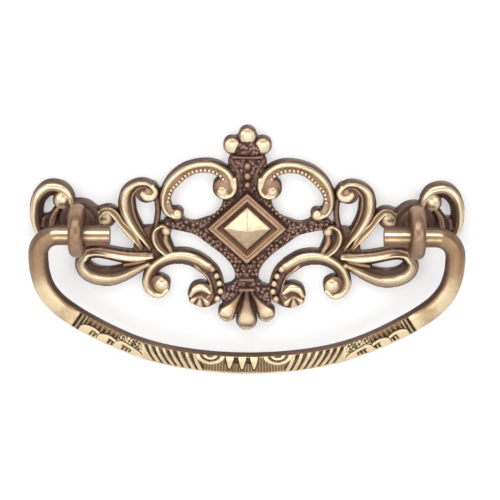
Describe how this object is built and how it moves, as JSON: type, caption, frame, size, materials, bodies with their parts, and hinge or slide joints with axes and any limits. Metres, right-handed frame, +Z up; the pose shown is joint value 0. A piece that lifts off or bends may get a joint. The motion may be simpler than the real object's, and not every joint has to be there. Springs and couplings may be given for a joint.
{
  "type": "bail pull",
  "caption": "Openwork scroll drawer pull: a pierced cast plate with two eye posts that carry a swinging drop bail.",
  "frame": {"origin": "midway between the two eye posts' axes, on the plane of the plate's flat back, which is the drawer front's face", "axes": "+X along the pull to the right as seen from the front, +Y into the drawer front, +Z up"},
  "size_m": [0.099, 0.0417, 0.0569],
  "materials": {
    "plate_metal": "satin with dark patina in the hollows",
    "bail_metal": "satin with dark patina in the cuts",
    "post_metal": "dull, darkened",
    "nut_metal": "satin"
  },
  "bodies": {
    "plate": {"backplate": "plate_metal", "eye_post_left": "post_metal", "eye_post_right": "post_metal", "nut_left": "nut_metal", "nut_right": "nut_metal"},
    "handle": {"bail": "bail_metal"}
  },
  "joints": [
    {"name": "bail_swing", "type": "hinge", "parent": "plate", "child": "handle", "pos_m": [0, -0.0096, -0.0011], "axis": [-1, 0, 0], "range_deg": [-14, 194]}
  ]
}
